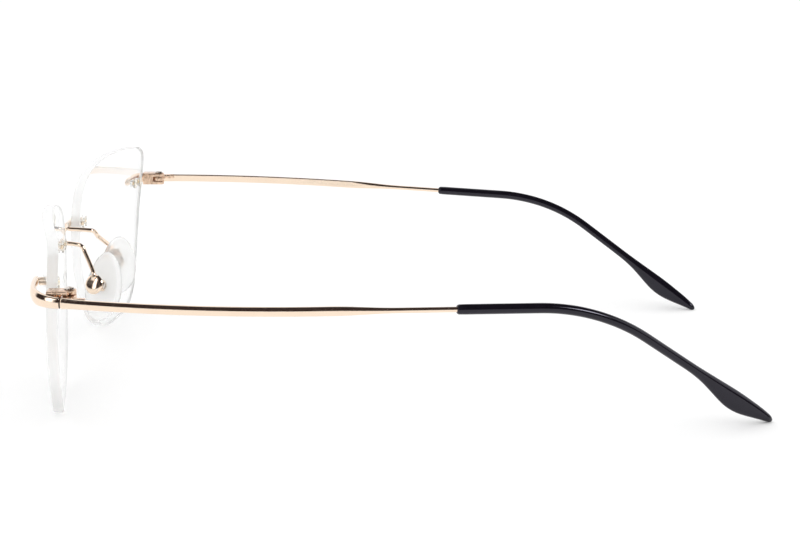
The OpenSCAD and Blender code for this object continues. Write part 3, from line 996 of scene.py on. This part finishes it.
def endpiece_mesh():
    """The bar round the lens's outer edge, from its rounded start to its flat end at the seam."""
    heights = ((0, 0.1), (0.008, 0.75), (0.022, 1.2), (0.045, 1.6), (0.08, 1.84), (0.6, 2.6),
               (0.985, 2.02), (0.995, 1.96), (1, 1.84))
    widths = ((0, 0.05), (0.008, 0.5), (0.022, 0.85), (0.045, 1.08), (0.08, ENDPIECE_T),
              (0.985, ENDPIECE_T), (0.995, ENDPIECE_T - 0.05), (1, ENDPIECE_T - 0.16))
    places = [0, 0.003, 0.008, 0.014, 0.022, 0.032, 0.045, 0.06]
    places += [0.08 + 0.905 * i / 60 for i in range(61)] + [0.99, 0.995, 0.998, 1]
    stations = []
    for t in places:
        ahead = endpiece_at(min(t + 0.01, 1)) - endpiece_at(max(t - 0.01, 0))
        out, up = frame_of(ahead.normalized())
        h, w = lookup(t, heights) / 2, lookup(t, widths) / 2
        stations.append((endpiece_at(t), out, up, w, w, h, h, 0.5))
    # the endpiece's flat end at the seam takes the painted seam shade
    return joined([mark(swept(stations, 40), 2, at_seam), pin_pair(OUTER_HOLE, ENDPIECE_MID)])


# ---------------------------------------------------------------- hinge

def front_leaf_mesh():
    """A block behind the endpiece with the upper and the lower knuckle."""
    outline = [(-1.1, -3.8), (2.2, -3.8), (2.2, -0.2)] + circle(KNUCKLE_R, start=0, end=152, n=28)
    body = prism(outline, 0, LEAF_H)
    slot_low = MIDDLE_Z - LEAF_Z - 0.1
    slot = block((-5, -KNUCKLE_R - 0.12, slot_low), (5, 5, slot_low + MIDDLE_H + 0.2))
    body = combined(body, slot, "DIFFERENCE")
    body = combined(body, disc(SHANK_R + 0.05, -1, LEAF_H + 1), "DIFFERENCE")
    return placed(bevelled(body, 0.09), Matrix.Translation((AXIS.x, AXIS.y, LEAF_Z)))


def rear_leaf_mesh():
    """The middle knuckle and its arm to the temple's inner face."""
    outline = [(0.87, -0.9), (3.35, -0.9), (4.1, 3.3), (3.1, 3.3), (2.4, 1.1), (0.6, 1.1)]
    outline += circle(KNUCKLE_R, start=61.4, end=314, n=36)[1:-1]
    body = combined(prism(outline, 0, MIDDLE_H), disc(SHANK_R + 0.05, -1, MIDDLE_H + 1), "DIFFERENCE")
    return placed(bevelled(body, 0.07), Matrix.Translation((AXIS.x, AXIS.y, MIDDLE_Z)))


def hinge_screw_mesh():
    """A screw with a domed, slotted head."""
    top = LEAF_H + 0.02
    profile = [(0.02, 0), (SHANK_R - 0.08, 0), (SHANK_R, 0.08), (SHANK_R, top), (0.86, top),
               (0.95, top + 0.08), (0.93, top + 0.18), (0.8, top + 0.29), (0.55, top + 0.36),
               (0.25, top + 0.39), (0.02, top + 0.4)]
    slot = block((-1.5, -0.12, top + 0.2), (1.5, 0.12, top + 1))
    screw = combined(turned(profile, 44), slot, "DIFFERENCE")
    return placed(screw, Matrix.Translation((AXIS.x, AXIS.y, LEAF_Z)) @ turn("Z", 35))


# ---------------------------------------------------------------- temple and tip

def temple_line():
    """The middle of the temple, a point for each millimetre from the seam."""
    points, p = [], SEAM.copy()
    for s in range(int(TEMPLE_LEN) + 2):
        points.append(p.copy())
        p += temple_ahead(s + 0.5)
    return points


LINE = temple_line()


def temple_at(s):
    """The middle of the temple at a length from the seam."""
    i = min(int(s), len(LINE) - 2)
    return LINE[i] + (LINE[i + 1] - LINE[i]) * (s - i)


def temple_mesh():
    """A flat strip, drawn down into the round wire that runs inside the tip."""
    places = [SEAM_GAP / 2, 0.11, 0.16, 0.24, 0.4] + [0.8 + 0.8 * i for i in range(int(71 / 0.8))]
    places += [72.5 + 1.5 * i for i in range(36)] + [WIRE_END - 0.4, WIRE_END - 0.1, WIRE_END]
    ends = ((0.08, 0.84), (0.11, 0.93), (0.16, 0.98), (0.24, 1), (WIRE_END - 0.4, 1), (WIRE_END - 0.1, 0.8),
            (WIRE_END, 0.5))
    rows = []
    for s in places:
        w = smooth_lookup(s, ((STRIP_LEN, STRIP_T), (TAPER_END, WIRE_D)), 2) / 2
        tall = ((0, SEAM_H), (3, STRIP_H), (STRIP_LEN, STRIP_H), (TAPER_END, WIRE_D))
        h = (lookup(s, tall) if s < 3 else smooth_lookup(s, tall, 2)) / 2
        flat = smooth_lookup(s, ((STRIP_LEN, 0.1), (TAPER_END, 1.0)), 2)
        ease = lookup(s, ends)
        out, up = frame_of(temple_ahead(s))
        rows.append((temple_at(s), out, up, w * ease, w * ease, h * ease, h * ease, flat))
    # the temple's flat end at the seam takes the painted seam shade
    return mark(swept(rows, 40), 1, at_seam)


def tip_tables():
    """Half sizes of the tip upwards, downwards and sideways along its length."""
    front = ((TIP_START, 0.86), (TIP_START + 0.3, TIP_R), (86, TIP_R), (105, 0.9), (121, 0.9))
    end = ((139.8, 0.78), (140.2, 0.68), (140.5, 0.55), (140.8, 0.36), (140.93, 0.22), (141, 0.03))
    up = front + ((131.5, 1.25), (137.5, 1.05)) + end
    down = front + ((124.5, 1.4), (128.5, 2.41), (131.5, 2.8), (134, 2.41), (137.5, 1.4)) + end
    wide = front + ((131.5, 1.05), (137.5, 0.85)) + end
    return up, down, wide


def tip_mesh():
    """A moulded sleeve that swells downwards into a flat paddle, bored for the wire."""
    tables = tip_tables()
    start = TIP_START
    places = [start + 0.05, start + 0.12, start + 0.25, start + 0.45]
    places += [start + 0.9 + 0.8 * i for i in range(82)]
    places += [137.6, 138.3, 138.9, 139.4, 139.8, 140.0, 140.2, 140.35, 140.5, 140.65, 140.8, 140.88, 140.93,
               140.97, 141.0]
    collar = ((start, 0.66), (start + 0.05, 0.78), (start + 0.12, 0.88), (start + 0.25, 0.96),
              (start + 0.45, 1.0))
    rows = []
    bore_r = WIRE_D / 2 + 0.02
    bore_end = WIRE_END + 0.3

    def station(s, sizes):
        out, up = frame_of(temple_ahead(s))
        return (temple_at(s), out, up, *sizes, 1.0)

    for s in [bore_end, bore_end - 0.05] + [bore_end - 2 - 2.5 * i for i in range(22)] + [start]:
        r = 0.02 if s == bore_end else bore_r
        rows.append(station(s, (r, r, r, r)))
    rows.append(station(start, (bore_r + 0.12,) * 4))
    for s in places:
        reach = 2.2 if 118 < s < 136 else 1.0 if s < 139 else 0.15
        up, down, wide = (smooth_lookup(s, table, reach) if s < 139.7 else lookup(s, table)
                          for table in tables)
        ease = lookup(s, collar)
        rows.append(station(s, (wide * ease, wide * ease, up * ease, down * ease)))
    return swept(rows, 40)


# ---------------------------------------------------------------- nose pads

ARM_R = 0.45


def arm_mesh():
    """The wire from the bridge's foot, back past the lens and down to the pad box."""
    root = BRIDGE_FOOT + Vector((-0.3, 0.2, -0.5))
    knots = [root] + [root + Vector(p) for p in ((0.3, 4, -0.3), (0.8, 5.5, -0.7), (1.5, 6.3, -2))]
    knots += [PAD_C + Vector((0.95, -0.65, 2.9)), PAD_C + Vector((1.35, -0.65, 1.3))]
    last = len(knots) - 1

    def at(t):
        i = min(int(t * last), last - 1)
        f = t * last - i
        a, b, c, d = (knots[min(max(i + k, 0), last)] for k in (-1, 0, 1, 2))
        return between(a, b, c, d, f)

    n = 80
    rows = []
    for i in range(n + 1):
        t = i / n
        out, up = frame_of((at(min(t + 0.01, 1)) - at(max(t - 0.01, 0))).normalized())
        r = ARM_R * lookup(t, ((0, 0.9), (0.02, 1), (0.96, 1), (1, 1.1)))
        rows.append((at(t), out, up, r, r, r, r, 1.0))
    return swept(rows, 28)


def pad_box_mesh():
    """A round dished cup with two cheeks for the pad's tab."""
    back, face = -1.9, -1.3
    profile = [(0.02, back - 0.12), (0.6, back - 0.1), (1.2, back - 0.02), (1.65, back + 0.12),
               (1.92, back + 0.3), (2.05, back + 0.5), (2.05, face + 0.06), (1.95, face + 0.14),
               (1.8, face + 0.1), (1.62, face - 0.05), (0.02, face - 0.1)]
    cup = placed(turned(profile, 48), ALONG_X)
    cheeks = []
    for side in (-1, 1):
        outline = circle(1.15, start=-90, end=90, n=24) + [(-1.6, 1.0), (-1.6, -1.0)]
        cheek = combined(prism(outline, -0.3, 0.3), disc(0.43, -1, 1, 28), "DIFFERENCE")
        cheeks.append(placed(bevelled(cheek, 0.08), Matrix.Translation((0, side * 1.15, 0)) @ ALONG_Y))
    return placed(joined([cup, *cheeks]), at_pad())


def pad_screw_mesh():
    """A small screw across the cheeks with a slotted head."""
    reach = 1.5
    profile = [(0.02, -reach), (0.3, -reach), (0.4, -reach + 0.1), (0.4, reach + 0.02), (0.7, reach + 0.02),
               (0.75, reach + 0.08), (0.75, reach + 0.25), (0.66, reach + 0.36), (0.4, reach + 0.42),
               (0.02, reach + 0.44)]
    slot = block((-0.1, -1, reach + 0.25), (0.1, 1, reach + 1))
    screw = combined(turned(profile, 36), slot, "DIFFERENCE")
    return placed(screw, at_pad() @ turn("Y", 20) @ ALONG_Y @ turn("X", 180))


def pad_core_mesh():
    """The stiff plate inside the pad, with its drilled tab."""
    outline = circle(1.05, start=90, end=270, n=24) + [(2.4, -1.05), (2.4, 1.05)]
    tab = combined(prism(outline, -0.7, 0.7), disc(0.45, -1, 1, 28), "DIFFERENCE")
    tab = placed(bevelled(tab, 0.08), ALONG_Y)
    half_w, half_h = 1.7, 4.5
    corners = [(-half_h, -half_w), (half_h, -half_w), (half_h, half_w), (-half_h, half_w)]
    plate = bevelled(prism(eased(corners, 1.0, 5, True), 0, 0.7), 0.1)
    plate = placed(plate, Matrix.Translation((PAD_BACK + 0.85, 0, 0)) @ ALONG_X)
    return placed(joined([tab, mark(plate, 1)]), at_pad())


def nose_pad_mesh():
    """A soft oval cushion: nearly flat behind, domed towards the nose, round at its rim."""
    n = 72
    dome_r = 16
    rim = 0.1

    def outline(a, k):
        c, s = math.cos(a), math.sin(a)
        return k * c * (1 - 0.14 * s) * PAD_W / 2, k * s * PAD_H / 2

    def front(y, z):
        return PAD_BACK + PAD_T - dome_r + math.sqrt(dome_r * dome_r - y * y - z * z)

    def ring(k, height):
        points = []
        for i in range(n):
            y, z = outline(2 * math.pi * i / n, k)
            ye, ze = outline(2 * math.pi * i / n, min(k, 1 - rim))
            top = front(ye, ze)
            mid = (top + PAD_BACK) / 2
            points.append((mid + (top - mid) * height, y, z))
        return points

    shares = (0.002, 0.12, 0.25, 0.38, 0.5, 0.62, 0.73, 0.83, 1 - rim)
    rings = [ring(k, 1) for k in shares]
    for a in range(75, -76, -15):
        rings.append(ring(1 - rim + rim * math.cos(math.radians(a)), math.sin(math.radians(a))))
    rings += [ring(k, -1) for k in reversed(shares)]
    verts = [p for r in rings for p in r]
    faces = [(i * n + j, i * n + (j + 1) % n, (i + 1) * n + (j + 1) % n, (i + 1) * n + j)
             for i in range(len(rings) - 1) for j in range(n)]
    last = (len(rings) - 1) * n
    faces += [tuple(reversed(range(n))), tuple(range(last, last + n))]
    return placed(mesh_from(verts, faces), at_pad())


# ---------------------------------------------------------------- assembly

def make_glasses():
    """Every piece, on its body and in place of its node."""
    gold, steel, black = rose_gold(), screw_steel(), tip_black()
    clear, edge, nylon = lens_clear(), lens_edge(), sleeve_clear()
    silicone, core = pad_silicone(), [core_clear(), core_embedded()]
    # the hinge leaves and the seam's end faces carry painted shade for the gaps between parts
    hinge_shade, seam_shade, satin = hinge_gold_shaded(), seam_painted_shade(), pin_gold()
    finish_piece("bridge", "", bridge_mesh(), [gold, satin], "front")
    for lens in both_sides("lens", lens_mesh(), [clear, edge], "front", SHARP_CRISP):
        lens.visible_shadow = False  # clear lenses hardly dim the board below them
    both_sides("bridge_sleeves", sleeve_pair(NASAL_HOLE), nylon, "front")
    both_sides("endpiece_sleeves", sleeve_pair(OUTER_HOLE), nylon, "front")
    both_sides("endpiece", endpiece_mesh(), [gold, satin, seam_shade], "front")
    both_sides("front_hinge_leaf", front_leaf_mesh(), hinge_shade, "front", SHARP_CRISP)
    both_sides("hinge_screw", hinge_screw_mesh(), steel, "front", SHARP_CRISP)
    both_sides("rear_hinge_leaf", rear_leaf_mesh(), hinge_shade, "temple_*", SHARP_CRISP)
    both_sides("temple", temple_mesh(), [gold, seam_shade], "temple_*")
    both_sides("temple_tip", tip_mesh(), black, "temple_*")
    both_sides("pad_arm", arm_mesh(), gold, "front")
    both_sides("pad_box", pad_box_mesh(), gold, "front", SHARP_CRISP)
    both_sides("pad_screw", pad_screw_mesh(), steel, "front", SHARP_CRISP)
    both_sides("pad_core", pad_core_mesh(), core, "pad_*", SHARP_CRISP)
    both_sides("nose_pad", nose_pad_mesh(), silicone, "pad_*")


def clear_light_paths():
    """Lets light run the whole way along the lenses, which it crosses by many inner reflections."""
    scene = bpy.context.scene
    scene.view_settings.view_transform = "Standard"
    scene.cycles.max_bounces = 40
    scene.cycles.glossy_bounces = 32
    scene.cycles.transmission_bounces = 32


make_camera()
clear_light_paths()
make_world()
make_floor()
SWEPT = swept_tree()
make_glasses()
